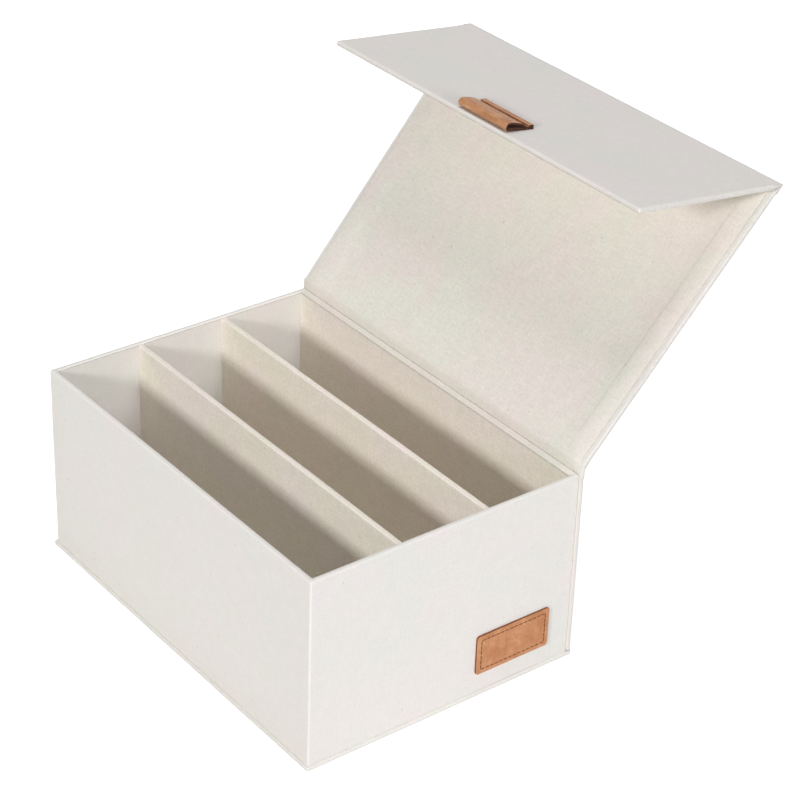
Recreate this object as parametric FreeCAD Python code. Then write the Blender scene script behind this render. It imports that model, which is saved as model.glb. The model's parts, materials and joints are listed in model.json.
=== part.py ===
import FreeCAD
import Part
import math
import os

# A lidded storage box of the book kind: grey board covered in cloth. A tray with two dividers is
# glued to a base and a spine. The lid hinges on the spine, a flap hinges on the lid's front edge and
# shuts with hidden magnets, and a leather loop pulls the flap open.
# X runs along the box, Y from the front to the hinge, and Z up. The origin is under the middle of
# the tray, on the surface that the box stands on. All lengths are in millimetres.

# Tray
tray_length = 252.0
tray_width = 174.6
rim_height = 118.0
wall_board = 2.4
rear_wall_board = 3.9
floor_board = 1.5
rim_round = 1.2
rear_rim_drop = 0.8

# Cloth and the boards of the case
cloth = 0.45
case_board = 2.0
case_overhang = 1.3
panel_round = 1.2
turn_in = 15.0
lining_margin = 5.0
lining_lap = 0.6
spine_joint = 1.0

# Dividers
divider_count = 2
divider_board = 2.6
divider_drop = 1.1
divider_round = 1.2

# Lid and flap
lid_clearance = 0.3
lid_end_gap = 0.55
flap_clearance = 2.6
flap_length = 101.9
lid_flare = 4.2
flap_taper = 1.7
flap_corner_round = 1.5
fold_gap = 6.2
fold_running_gap = 0.3
fold_lining_gap = 0.3

# Magnetic catch
magnet_radius = 5.0
magnet_thickness = 1.5
catch_plate_radius = 6.0
catch_plate_thickness = 0.8
catch_from_tray_end = 41.0
catch_from_flap_edge = 12.0

# Leather pull
pull_width = 41.0
pull_ply = 1.3
pull_nose_height = 5.8
pull_loop_length = 16.1
pull_tail_length = 3.8
pull_crease_height = 1.9
pull_from_flap_edge = 0.9
pull_rest_gap = 0.3
pull_off_centre = 1.4
pull_tail_round = 0.5

# Leather label
label_length = 50.0
label_height = 25.0
label_thickness = 1.3
label_corner_round = 2.0
label_centre_from_back = 40.4
label_centre_height = 27.0
label_edge_round = 0.3

# Pose of the hinges at rest
lid_open_deg = 131.8
flap_folded_deg = 34.8

overrun = 10.0
touch = 1e-4

# Sizes that follow from the ones above
wall = wall_board + 2 * cloth
rear_wall = rear_wall_board + 2 * cloth
base_thickness = case_board + 2 * cloth
spine_thickness = case_board + cloth
panel_thickness = case_board + 2 * cloth
lapped_thickness = panel_thickness + cloth
tray_half = tray_length / 2
case_half = tray_half + case_overhang
front_face = -tray_width / 2
back_face = tray_width / 2
fold_half = case_half + lid_flare
inner_half = tray_half - wall
catch_offset = tray_half - catch_from_tray_end
inner_front = front_face + wall
inner_back = back_face - rear_wall
floor_top = base_thickness + floor_board + cloth
spine_top = rim_height - rear_rim_drop
case_top = rim_height + lid_clearance + lapped_thickness
case_back = back_face + spine_thickness
case_front = front_face - flap_clearance - lapped_thickness
lid_length = case_back - case_front
lid_axis_y = case_back - cloth
fold_axis_y = case_front + cloth
axis_height = case_top - cloth


def block(x0, x1, y0, y1, z0, z1):
    """A box between two corners."""
    return Part.makeBox(x1 - x0, y1 - y0, z1 - z0, FreeCAD.Vector(x0, y0, z0))


def prism(points, direction):
    """The solid that a closed outline sweeps along a direction."""
    corners = [FreeCAD.Vector(*p) for p in points]
    return Part.Face(Part.makePolygon(corners + corners[:1])).extrude(FreeCAD.Vector(*direction))


def rounded(solid, radius, chosen):
    """The solid with a radius on each edge whose bounding box is chosen."""
    edges = [e for e in solid.Edges if chosen(e.BoundBox)]
    return solid.makeFillet(radius, edges)


def same(a, b):
    return abs(a - b) < touch


def whole(*solids):
    """One solid out of several that touch."""
    return solids[0].multiFuse(list(solids[1:])).removeSplitter()


def wall_ring(skin):
    """The four walls as one ring with a rounded rim, or its core of board at a depth of one skin."""
    half, front, back, top = tray_half - skin, front_face + skin, back_face - skin, rim_height - skin
    in_half, in_front, in_back = inner_half + skin, inner_front - skin, inner_back + skin
    ring = block(-half, half, front, back, base_thickness, top)
    ring = ring.cut(block(-in_half, in_half, in_front, in_back, base_thickness - overrun, top + overrun))

    def chosen(b):
        upright_outside = b.ZLength > touch and same(abs(b.Center.x), half)
        on_rim = same(b.ZMin, top) and not skin
        return on_rim or upright_outside

    ring = rounded(ring, rim_round - skin, chosen)
    seat = block(-in_half, in_half, in_back, back + overrun, spine_top - skin, top + overrun)
    return ring.cut(seat)


def tray_walls():
    """Four boards and the cloth that wraps them, with pockets for the catch plates."""
    core = wall_ring(cloth)
    cloth_ring = wall_ring(0).cut(core)
    low, high = base_thickness - overrun, rim_height + overrun
    far_x, far_y = tray_half + overrun, back_face + overrun
    board_half = inner_half + cloth
    pieces = {
        "left_wall_board": core.common(block(-far_x, -board_half, -far_y, far_y, low, high)),
        "right_wall_board": core.common(block(board_half, far_x, -far_y, far_y, low, high)),
        "front_wall_board": core.common(block(-board_half, board_half, -far_y, 0, low, high)),
        "rear_wall_board": core.common(block(-board_half, board_half, 0, far_y, low, high)),
        "wall_cloth": cloth_ring,
    }
    plates = catch_plates()
    pieces["front_wall_board"] = pieces["front_wall_board"].cut(list(plates.values()))
    pieces.update(plates)
    return pieces


def catch_height():
    """The height of the magnets and their plates with the box shut."""
    return case_top - flap_length + catch_from_flap_edge


def catch_plates():
    """Two steel discs let into the outside of the front wall board."""
    discs = {}
    for name, side in (("left_catch_plate", -1), ("right_catch_plate", 1)):
        place = FreeCAD.Vector(side * catch_offset, front_face + cloth, catch_height())
        inwards = FreeCAD.Vector(0, 1, 0)
        discs[name] = Part.makeCylinder(catch_plate_radius, catch_plate_thickness, place, inwards)
    return discs


def tray_floor():
    """The tray's bottom board with its cloth."""
    board_top = base_thickness + floor_board
    inside = (-inner_half, inner_half, inner_front, inner_back)
    return {
        "floor_board": block(*inside, base_thickness, board_top),
        "floor_lining": block(*inside, board_top, floor_top),
    }


def divider(front, skin):
    """One upright divider with a rounded top, or its board at a depth of one skin."""
    back = front + divider_board + 2 * cloth
    top = rim_height - divider_drop - skin
    slab = block(-inner_half, inner_half, front + skin, back - skin, floor_top, top)
    if skin:
        return slab
    return rounded(slab, divider_round, lambda b: same(b.ZMin, top) and b.XLength > touch)


def dividers():
    """Upright dividers that part the tray into equal bays."""
    thickness = divider_board + 2 * cloth
    bay = (inner_back - inner_front - divider_count * thickness) / (divider_count + 1)
    names = ["front_divider", "rear_divider"]
    pieces = {}
    for i in range(divider_count):
        name = names[i] if i < len(names) else f"divider_{i + 1}"
        front = inner_front + bay + i * (bay + thickness)
        board = divider(front, cloth)
        pieces[name + "_board"] = board
        pieces[name + "_cloth"] = divider(front, 0).cut(board)
    return pieces


def base():
    """The case's bottom board in its cloth, which is turned in under the tray."""
    front, back = front_face - case_overhang, case_back

    def wrapped(skin):
        top = base_thickness - skin
        slab = block(skin - case_half, case_half - skin, front + skin, back - skin, skin, top)

        def chosen(b):
            upright = b.ZLength > touch
            under_spine = same(b.ZMin, top) and same(b.YMin, back - skin)
            return upright or not (skin or under_spine)

        return rounded(slab, panel_round - skin, chosen)

    board = wrapped(cloth)
    window = block(turn_in - case_half, case_half - turn_in, front + turn_in, back_face,
                   base_thickness - cloth, base_thickness + overrun)
    return {"base_board": board, "base_cloth": wrapped(0).cut(board).cut(window)}


def spine():
    """The board behind the tray in its cloth, with the open joint at its foot."""
    foot = base_thickness + spine_joint
    board = block(cloth - case_half, case_half - cloth, back_face, case_back - cloth, foot, spine_top)
    sleeve = block(-case_half, case_half, back_face, case_back, base_thickness, spine_top)
    sleeve = rounded(sleeve, panel_round, lambda b: b.ZLength > touch and same(b.YMin, case_back))
    joint = block(-case_half - overrun, case_half + overrun, back_face - overrun, case_back - cloth,
                  base_thickness - overrun, foot)
    return {"spine_board": board, "spine_cloth": sleeve.cut(board).cut(joint)}


class Panel:
    """A board wrapped in cloth, drawn flat: X across it, Y along it from the corner line where it
    starts, and Z inwards from its outer face. It narrows evenly from one end to the other. A hinged
    end has a tongue of cloth to its hinge, and a free end is wrapped."""

    def __init__(self, start_half, end_half, length, start_gap, end_gap):
        self.start_half = start_half
        self.end_half = end_half
        self.length = length
        self.board_start = start_gap + cloth
        self.board_end = length - (end_gap + cloth if end_gap else 0)
        self.free_end = end_gap == 0

    def half(self, y):
        return self.start_half + (self.end_half - self.start_half) * y / self.length

    def slab(self, y0, y1, z0, z1, inset=0):
        """A plate across the panel, inset from its sides."""
        near, far = self.half(y0) - inset, self.half(y1) - inset
        outline = [(-near, y0, z0), (near, y0, z0), (far, y1, z0), (-far, y1, z0)]
        return prism(outline, (0, 0, z1 - z0))

    def body(self, skin):
        """The wrapped panel, or its board at a depth of one skin."""
        end = self.board_end - (skin if self.free_end else 0)
        plate = self.slab(self.board_start, end, skin, panel_thickness - skin, skin)
        if self.free_end:
            plate = rounded(plate, flap_corner_round - skin,
                            lambda b: b.ZLength > touch and b.YLength < touch and same(b.YMin, end))
        if skin:
            return plate

        def outer_edge(b):
            flat = b.ZLength < touch
            at_start = same(b.YMax, self.board_start)
            at_end = same(b.YMin, end) and not self.free_end
            return flat and not at_start and not at_end

        return rounded(plate, panel_round, outer_edge)

    def cloth_cover(self, board):
        """The outer cloth: over the outer face and the edges, turned in, and out to the hinges."""
        window_end = self.length - turn_in if self.free_end else self.board_end + overrun
        window = self.slab(self.board_start - overrun, window_end, panel_thickness - cloth,
                           panel_thickness + overrun, turn_in)
        cover = self.body(0).cut(board).cut(window)
        reach = 2 * cloth + fold_running_gap
        tongues = [self.slab(reach, self.board_start, 0, cloth)]
        if not self.free_end:
            tongues.append(self.slab(self.board_end, self.length - reach, 0, cloth))
        return whole(cover, *tongues)

    def lining(self):
        """The inner cloth: on the board, lapped over the turned-in cloth, and down the hinged ends."""
        lap_top = lapped_thickness
        board_face = panel_thickness - cloth
        start, end = self.board_start, self.board_end
        plate_end = self.length - turn_in if self.free_end else end
        lap_end = self.length - lining_margin if self.free_end else end
        window_end = plate_end - lining_lap if self.free_end else end + overrun
        plate = self.slab(start, plate_end, board_face, panel_thickness, turn_in)
        lap = self.slab(start, lap_end, panel_thickness, lap_top, lining_margin)
        lap = lap.cut(self.slab(start - overrun, window_end, panel_thickness - overrun, lap_top + overrun,
                                turn_in + lining_lap))
        caps = [self.slab(start - cloth, start, cloth, lap_top, lining_margin)]
        if not self.free_end:
            caps.append(self.slab(end, end + cloth, cloth, lap_top, lining_margin))
        return whole(plate, lap, *caps)


def shut_lid(solid):
    """Lays a flat panel on the shut tray as its lid."""
    placed = solid.copy()
    placed.rotate(FreeCAD.Vector(0, 0, 0), FreeCAD.Vector(1, 0, 0), 180)
    placed.translate(FreeCAD.Vector(0, case_back, case_top))
    return placed


def shut_flap(solid):
    """Hangs a flat panel on the front edge of the shut lid as its flap."""
    placed = solid.copy()
    placed.rotate(FreeCAD.Vector(0, 0, 0), FreeCAD.Vector(1, 0, 0), -90)
    placed.translate(FreeCAD.Vector(0, case_front, case_top))
    return placed


def opened(solid):
    """Swings a piece of the shut lid to its place at rest."""
    placed = solid.copy()
    placed.rotate(FreeCAD.Vector(0, lid_axis_y, axis_height), FreeCAD.Vector(-1, 0, 0), lid_open_deg)
    return placed


def folded(solid):
    """Folds a piece of the shut flap in and opens it with the lid."""
    placed = solid.copy()
    placed.rotate(FreeCAD.Vector(0, fold_axis_y, axis_height), FreeCAD.Vector(1, 0, 0), flap_folded_deg)
    return opened(placed)


def hinge_bead(y, half):
    """The round of cloth that a hinge turns on."""
    return Part.makeCylinder(cloth, 2 * half, FreeCAD.Vector(-half, y, axis_height), FreeCAD.Vector(1, 0, 0))


def fold_lining():
    """The lining across the fold, slack in the corner between the lid and the folded flap, and drawn
    flat as the flap: two legs that meet where the outer cloth turns."""
    half_angle = math.radians(90 - flap_folded_deg) / 2
    far = fold_gap - fold_lining_gap
    bisector = FreeCAD.Vector(0, math.cos(half_angle), math.sin(half_angle))

    def inside_corner(depth):
        return bisector * (depth / math.sin(half_angle))

    def mirrored(point):
        return bisector * (2 * point.dot(bisector)) - point

    near, inner = fold_lining_gap, fold_lining_gap + cloth
    leg = [FreeCAD.Vector(0, far, near), FreeCAD.Vector(0, far, inner)]
    outline = [inside_corner(near), *leg, inside_corner(inner), mirrored(leg[1]), mirrored(leg[0])]
    axis = FreeCAD.Vector(lining_margin - fold_half, cloth, cloth)
    return prism([axis + point for point in outline], (2 * (fold_half - lining_margin), 0, 0))


def hinges():
    """The cloth hinges of the lid and the flap, and the lining strip on the rear rim."""
    web = block(-case_half, case_half, case_back - cloth, case_back, spine_top, axis_height)
    rim_strip = block(-inner_half, inner_half, inner_back, back_face, spine_top, spine_top + cloth)
    board_half = case_half - cloth
    ledge = block(-board_half, board_half, back_face, case_back - cloth, spine_top, spine_top + cloth)
    return {
        "lid_hinge_cloth": whole(web, hinge_bead(lid_axis_y, case_half)),
        "hinge_lining": whole(rim_strip, ledge),
        "flap_hinge_cloth": folded(hinge_bead(fold_axis_y, fold_half)),
        "fold_lining": folded(shut_flap(fold_lining())),
    }


def lid():
    """The lid's board, cloth and lining, open."""
    panel = Panel(case_half, fold_half, lid_length, spine_thickness + lid_end_gap, fold_gap + cloth)
    board = panel.body(cloth)
    return {
        "lid_board": opened(shut_lid(board)),
        "lid_cloth": opened(shut_lid(panel.cloth_cover(board))),
        "lid_lining": opened(shut_lid(panel.lining())),
    }


def flap():
    """The flap's board with its magnets, cloth and lining, folded in."""
    panel = Panel(fold_half, fold_half - flap_taper, flap_length, fold_gap + cloth, 0)
    board = panel.body(cloth)
    cover = panel.cloth_cover(board)
    magnets = flap_magnets()
    pieces = {
        "flap_board": board.cut(list(magnets.values())),
        "flap_cloth": cover,
        "flap_lining": panel.lining(),
    }
    pieces.update(magnets)
    return {name: folded(shut_flap(solid)) for name, solid in pieces.items()}


def flap_magnets():
    """Two disc magnets let into the inside of the flap board, under the lining."""
    inner_face = panel_thickness - cloth
    discs = {}
    for name, side in (("left_magnet", -1), ("right_magnet", 1)):
        along = flap_length - catch_from_flap_edge
        place = FreeCAD.Vector(side * catch_offset, along, inner_face - magnet_thickness)
        discs[name] = Part.makeCylinder(magnet_radius, magnet_thickness, place)
    return discs


def teardrop(nose, apex_angle, radius, base):
    """A round nose whose two tangents meet in a point, as a face in the plane across the pull.
    Heights are measured out from the flap, so they run to minus Z."""
    reach = radius / math.tan(apex_angle / 2)
    apex = FreeCAD.Vector(0, nose - reach, -base)
    lower = FreeCAD.Vector(0, nose, -base)
    tip = FreeCAD.Vector(0, nose + radius, -base - radius)
    upper = tip + FreeCAD.Vector(0, -radius - radius * math.sin(apex_angle), -radius * math.cos(apex_angle))
    edges = [Part.LineSegment(apex, lower).toShape(), Part.Arc(lower, tip, upper).toShape(),
             Part.LineSegment(upper, apex).toShape()]
    return Part.Face(Part.Wire(edges))


def pull():
    """A leather strip folded into a loop: the loose loop and the tail that is glued to the flap."""
    across = FreeCAD.Vector(pull_width, 0, 0)
    aside = FreeCAD.Vector(pull_off_centre - pull_width / 2, 0, 0)
    tip = flap_length - pull_from_flap_edge
    crease = tip - pull_loop_length
    tail_height = 2 * pull_ply
    radius = (pull_nose_height - pull_rest_gap) / 2
    nose = tip - radius
    rise = pull_crease_height - pull_rest_gap - radius
    slope = math.atan2(-rise, nose - crease)
    apex_angle = slope + math.asin(radius / math.hypot(nose - crease, rise))
    outside = teardrop(nose, apex_angle, radius, pull_rest_gap).extrude(across)
    inside = teardrop(nose, apex_angle, radius - pull_ply, pull_rest_gap + pull_ply).extrude(across)
    behind = block(-overrun, pull_width + overrun, -overrun, crease + pull_rest_gap,
                   -pull_nose_height - overrun, overrun)
    loop = outside.cut(inside).cut(behind)
    tail = block(0, pull_width, crease - pull_tail_length, crease, -tail_height, 0)
    tail = rounded(tail, pull_tail_round, lambda b: same(b.ZMax, -tail_height) and b.XLength > touch)
    pieces = {}
    for name, solid in (("pull_loop", loop), ("pull_tail", tail)):
        solid.translate(aside)
        pieces[name] = folded(shut_flap(solid))
    return pieces


def label():
    """A blank leather label on the right end of the tray."""
    y = back_face - label_centre_from_back
    half_length, half_height = label_length / 2, label_height / 2
    plate = block(tray_half, tray_half + label_thickness, y - half_length, y + half_length,
                  label_centre_height - half_height, label_centre_height + half_height)
    plate = rounded(plate, label_corner_round, lambda b: b.XLength > touch)
    outer = tray_half + label_thickness
    return {"label_patch": rounded(plate, label_edge_round, lambda b: same(b.XMin, outer))}


def fold_axis_at_rest():
    """The flap's axis after the lid has opened."""
    place = FreeCAD.Vector(0, fold_axis_y, axis_height)
    turn = FreeCAD.Rotation(FreeCAD.Vector(-1, 0, 0), lid_open_deg)
    centre = FreeCAD.Vector(0, lid_axis_y, axis_height)
    return centre + turn.multVec(place - centre)


def pull_axis_at_rest():
    """The crease that the loop bends on, after the flap has folded in and the lid has opened."""
    crease = flap_length - pull_from_flap_edge - pull_loop_length
    point = Part.Vertex(FreeCAD.Vector(0, crease, -2 * pull_ply))
    return folded(shut_flap(point)).Point


def build():
    os.makedirs("parts", exist_ok=True)
    pieces = {}
    for group in (tray_walls, tray_floor, dividers, base, spine, hinges, lid, flap, pull, label):
        pieces.update(group())
    for name, solid in pieces.items():
        solid.exportStep(f"parts/{name}.step")
        b = solid.BoundBox
        corners = [round(v, 2) for v in (b.XMin, b.YMin, b.ZMin, b.XMax, b.YMax, b.ZMax)]
        print(name, len(solid.Solids), solid.isValid(), round(solid.Volume), corners)
    print("lid axis", round(lid_axis_y, 4), round(axis_height, 4))
    print("flap axis", fold_axis_at_rest())
    print("pull axis", pull_axis_at_rest())


build()
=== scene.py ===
import json
import math

import bmesh
import bpy
from mathutils import Matrix, Vector, noise
from mathutils.geometry import interpolate_bezier


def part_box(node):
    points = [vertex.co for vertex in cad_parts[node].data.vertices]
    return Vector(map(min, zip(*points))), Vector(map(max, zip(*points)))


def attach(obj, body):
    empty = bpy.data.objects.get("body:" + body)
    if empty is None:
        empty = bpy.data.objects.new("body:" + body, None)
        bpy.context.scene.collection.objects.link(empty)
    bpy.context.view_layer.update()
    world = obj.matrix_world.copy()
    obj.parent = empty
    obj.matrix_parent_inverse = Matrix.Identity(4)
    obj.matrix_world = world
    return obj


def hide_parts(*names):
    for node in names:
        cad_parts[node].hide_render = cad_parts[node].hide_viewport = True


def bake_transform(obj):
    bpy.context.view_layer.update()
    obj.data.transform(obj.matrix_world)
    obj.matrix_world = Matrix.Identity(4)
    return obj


# A lidded box of board covered in natural canvas, with a leather pull and a leather label.
# Sizes are in metres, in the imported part's own frame. A panel is drawn flat, with X across it, Y along it
# from the corner line at its hinge, and Z inwards from its outer face, and is then set in its place.

mm = 0.001
CLOTH = 0.45 * mm
ON_LINE = 0.02 * mm
SAME_PLACE = 0.001 * mm

# Tray and case
TRAY_HALF = 126.0 * mm
TRAY_FRONT, TRAY_BACK = -87.3 * mm, 87.3 * mm
INNER_HALF = 122.7 * mm
INNER_FRONT, INNER_BACK = -84.0 * mm, 82.5 * mm
RIM = 118.0 * mm
SPINE_TOP = 117.2 * mm
CASE_HALF = 127.3 * mm
CASE_BACK = 89.75 * mm
BASE_FRONT = -88.6 * mm
BASE_TOP = 2.9 * mm
FLOOR_TOP = 4.85 * mm
CASE_TOP = 121.65 * mm
CASE_FRONT = -93.25 * mm
PANEL = 2.9 * mm
EDGE_ROUND = 1.2 * mm
RIM_ROUND = 0.95 * mm

# Lid, fold and flap
LID_LENGTH = CASE_BACK - CASE_FRONT
FLAP_LENGTH = 101.9 * mm
FOLD_HALF = 131.5 * mm
FLAP_END_HALF = 129.8 * mm
LID_ROOT, LID_END = 0.8 * mm, 176.35 * mm
FLAP_START = 6.65 * mm
TURN_IN = 15.0 * mm
LINING_INSET = 3.2 * mm
LINING_PLY = 0.4 * mm
PANEL_CELL = 12 * mm
LID_OPEN = math.radians(131.8)
FLAP_FOLDED = math.radians(34.8)
FOLD_TURN = (math.radians(90) + FLAP_FOLDED) / 2

LID_AXIS = Vector((0, CASE_BACK - CLOTH, CASE_TOP - CLOTH))
FOLD_AXIS_SHUT = Vector((0, CASE_FRONT + CLOTH, CASE_TOP - CLOTH))


def turn_about(point, angle):
    """A turn about the line through a point along +X."""
    return Matrix.Translation(point) @ Matrix.Rotation(angle, 4, "X") @ Matrix.Translation(-point)


OPENED = turn_about(LID_AXIS, -LID_OPEN)
LID_PLACE = OPENED @ Matrix.Translation((0, CASE_BACK, CASE_TOP)) @ Matrix.Rotation(math.pi, 4, "X")
FLAP_PLACE = (OPENED @ turn_about(FOLD_AXIS_SHUT, FLAP_FOLDED)
              @ Matrix.Translation((0, CASE_FRONT, CASE_TOP)) @ Matrix.Rotation(-math.pi / 2, 4, "X"))
FOLD_AXIS = OPENED @ FOLD_AXIS_SHUT

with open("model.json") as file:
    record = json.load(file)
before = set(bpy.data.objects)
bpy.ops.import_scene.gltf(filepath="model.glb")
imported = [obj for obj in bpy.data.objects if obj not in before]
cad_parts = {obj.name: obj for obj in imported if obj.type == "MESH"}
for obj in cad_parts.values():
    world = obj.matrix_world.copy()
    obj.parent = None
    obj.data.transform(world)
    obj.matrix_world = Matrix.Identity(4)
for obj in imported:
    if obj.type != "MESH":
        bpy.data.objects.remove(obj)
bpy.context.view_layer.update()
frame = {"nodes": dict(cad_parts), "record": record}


def lid_half(y):
    """Half the lid's width at a distance from its hinge."""
    return CASE_HALF + (FOLD_HALF - CASE_HALF) * y / LID_LENGTH


def flap_half(y):
    """Half the flap's width at a distance from its fold."""
    return FOLD_HALF + (FLAP_END_HALF - FOLD_HALF) * y / FLAP_LENGTH


def clamp(x):
    """The value, kept between 0 and 1."""
    return min(max(x, 0), 1)


def eased(x):
    """A rise from 0 to 1 that starts and ends level."""
    return x * x * (3 - 2 * x)


# Materials

def srgb(r, g, b):
    """A colour given as 0 to 255 screen values."""
    def linear(v):
        v /= 255
        return v / 12.92 if v <= 0.04045 else ((v + 0.055) / 1.055) ** 2.4
    return (linear(r), linear(g), linear(b), 1)


class Shader:
    """A node material under construction."""

    def __init__(self, name):
        self.material = bpy.data.materials.new(name)
        self.material.use_nodes = True
        self.tree = self.material.node_tree
        self.surface = self.tree.nodes["Principled BSDF"]

    def node(self, kind, settings=None, **inputs):
        """Adds a node with its settings, and plugs a value or a link into each input named."""
        made = self.tree.nodes.new(kind)
        for key, value in (settings or {}).items():
            setattr(made, key, value)
        for key, value in inputs.items():
            self.plug(made, key.replace("_", " "), value)
        return made

    def plug(self, node, socket, value):
        """Links a socket to another's output, or sets it to a constant."""
        target = node.inputs[socket] if isinstance(socket, int) else next(
            s for s in node.inputs if s.name == socket and s.enabled)
        if isinstance(value, bpy.types.NodeSocket):
            self.tree.links.new(value, target)
        else:
            target.default_value = value

    def math(self, operation, *values):
        made = self.tree.nodes.new("ShaderNodeMath")
        made.operation = operation
        for i, value in enumerate(values):
            self.plug(made, i, value)
        return made.outputs[0]

    def mix(self, share, a, b, blend="MIX"):
        made = self.tree.nodes.new("ShaderNodeMix")
        made.data_type = "RGBA"
        made.blend_type = blend
        self.plug(made, 0, share)
        self.plug(made, 6, a)
        self.plug(made, 7, b)
        return made.outputs[2]

    def ramp(self, value, low, high, a=0.0, b=1.0):
        """Carries a value from one range over to another."""
        made = self.node("ShaderNodeMapRange", Value=value)
        for socket, v in (("From Min", low), ("From Max", high), ("To Min", a), ("To Max", b)):
            self.plug(made, socket, v)
        return made.outputs[0]

    def noise(self, vector, scale, detail=2.0, roughness=0.5):
        return self.node("ShaderNodeTexNoise", Vector=vector, Scale=scale, Detail=detail,
                         Roughness=roughness).outputs["Fac"]

    def stretched(self, vector, scale):
        """Coordinates with a scale of their own along each axis."""
        return self.node("ShaderNodeMapping", Vector=vector, Scale=scale).outputs[0]


def canvas(name, colour, warm, grain, fleck_colour, painted_shade_colour):
    """Natural canvas: a fine plain weave with slubs, seed flecks and faint warm and cool patches, and painted shade, a
    ragged dark brown, on the points marked for it.
    """
    s = Shader(name)
    place = s.node("ShaderNodeTexCoord")
    cloth, solid = place.outputs["UV"], place.outputs["Object"]
    patches = s.noise(solid, 24.0, 3.0, 0.55)
    tint = s.mix(s.ramp(patches, 0.40, 0.60), colour, warm)
    warp = s.noise(s.stretched(cloth, (1100, 90, 1)), 1.0, 3.0, 0.6)
    weft = s.noise(s.stretched(cloth, (90, 1100, 1)), 1.0, 3.0, 0.6)
    nap = s.noise(cloth, 700.0, 3.0, 0.65)
    cloud = s.noise(cloth, 130.0, 3.0, 0.6)
    threads = s.math("ADD", s.math("MULTIPLY", s.math("ADD", warp, weft), 0.5), nap)
    value = s.ramp(threads, 0.7, 1.3, 1 - grain, 1 + grain)
    value = s.math("MULTIPLY", value, s.ramp(cloud, 0.3, 0.7, 1 - 0.2 * grain, 1 + 0.2 * grain))
    shade = s.node("ShaderNodeCombineColor", Red=value, Green=value, Blue=value).outputs[0]
    body = s.mix(1.0, tint, shade, "MULTIPLY")
    slub = s.math("MAXIMUM", s.ramp(s.noise(s.stretched(cloth, (1500, 170, 1)), 1.0, 2.0), 0.64, 0.74),
                  s.ramp(s.noise(s.stretched(cloth, (170, 1500, 1)), 1.0, 2.0), 0.64, 0.74))
    body = s.mix(s.math("MULTIPLY", slub, 4.5 * grain), body, srgb(252, 249, 242))
    for scale, size, share in ((75.0, 0.030, 0.40), (130.0, 0.040, 0.25)):
        cells = s.node("ShaderNodeTexVoronoi", {"voronoi_dimensions": "2D"},
                       Vector=s.stretched(cloth, (1.0, 0.7, 1)), Scale=scale)
        lot = s.node("ShaderNodeSeparateColor", Color=cells.outputs["Color"])
        reach = s.math("MULTIPLY", s.ramp(lot.outputs[0], 1 - share, 1.0, 0.0, 1.0), size)
        speck = s.ramp(s.math("SUBTRACT", reach, cells.outputs["Distance"]), 0.0, 0.008)
        body = s.mix(s.math("MULTIPLY", speck, s.ramp(lot.outputs[1], 0, 1, 0.10, 0.50)), body, fleck_colour)
    # The marked points get painted shade: a ragged dark brown for grooves, creases and raw edges, and for edges that
    # catch too much light.
    seam_and_painted_shade = s.node("ShaderNodeAttribute", {"attribute_name": "seam_and_painted_shade"}).outputs["Fac"]
    ragged_painted_shade = s.math("MULTIPLY", seam_and_painted_shade, s.ramp(s.noise(cloth, 520.0, 4.0, 0.65), 0.35, 0.6, 0.4, 1.0))
    body = s.mix(ragged_painted_shade, body, painted_shade_colour)
    s.plug(s.surface, "Base Color", body)
    s.plug(s.surface, "Roughness", 0.92)
    s.plug(s.surface, "Specular IOR Level", 0.22)
    across = s.node("ShaderNodeTexWave", {"bands_direction": "X"}, Vector=cloth, Scale=520.0)
    along = s.node("ShaderNodeTexWave", {"bands_direction": "Y"}, Vector=cloth, Scale=520.0)
    weave = s.math("MULTIPLY", across.outputs["Fac"], along.outputs["Fac"])
    height = s.math("ADD", s.math("MULTIPLY", weave, 0.5), s.math("ADD", threads, s.math("MULTIPLY", cloud, 1.5)))
    bump = s.node("ShaderNodeBump", Strength=0.45, Distance=0.00014, Height=height)
    s.plug(s.surface, "Normal", bump.outputs[0])
    return s.material


def leather(name, colour, dark, shine=0.5, streak=0.0):
    """Vegetable-tanned leather with a fine pebbled grain, uneven dye and, where it bends, paler streaks."""
    s = Shader(name)
    solid = s.node("ShaderNodeTexCoord").outputs["Object"]
    cloud = s.noise(solid, 160.0, 4.0, 0.6)
    tint = s.mix(s.ramp(cloud, 0.35, 0.68), dark, colour)
    mottle = s.noise(solid, 620.0, 3.0, 0.65)
    tint = s.mix(s.ramp(mottle, 0.35, 0.62, 0.55, 0.0), tint, dark)
    fine = s.noise(solid, 1600.0, 3.0, 0.6)
    tint = s.mix(s.ramp(fine, 0.35, 0.65, 0.3, 0.0), tint, dark)
    if streak:
        pulled = s.noise(s.stretched(solid, (60, 900, 900)), 1.0, 3.0, 0.6)
        tint = s.mix(s.ramp(pulled, 0.55, 0.72, 0.0, streak), tint, srgb(228, 196, 158))
        tint = s.mix(s.ramp(pulled, 0.44, 0.30, 0.0, streak), tint, srgb(120, 70, 42))
    s.plug(s.surface, "Base Color", tint)
    s.plug(s.surface, "Roughness", shine)
    s.plug(s.surface, "Specular IOR Level", 0.35)
    pebble = s.node("ShaderNodeTexVoronoi", {"feature": "SMOOTH_F1"}, Vector=solid, Scale=1300.0)
    height = s.math("ADD", pebble.outputs["Distance"], s.math("MULTIPLY", fine, 0.6))
    bump = s.node("ShaderNodeBump", Strength=0.3, Distance=0.00008, Height=height)
    s.plug(s.surface, "Normal", bump.outputs[0])
    return s.material


def fibrous(name, colour, dark, roughness=0.95):
    """The cut edge of leather, or grey board: short fibres in two tones."""
    s = Shader(name)
    solid = s.node("ShaderNodeTexCoord").outputs["Object"]
    fibres = s.noise(s.stretched(solid, (300, 1500, 1500)), 1.0, 3.0, 0.6)
    s.plug(s.surface, "Base Color", s.mix(s.ramp(fibres, 0.35, 0.65), dark, colour))
    s.plug(s.surface, "Roughness", roughness)
    bump = s.node("ShaderNodeBump", Strength=0.3, Distance=0.0001, Height=fibres)
    s.plug(s.surface, "Normal", bump.outputs[0])
    return s.material


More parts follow.
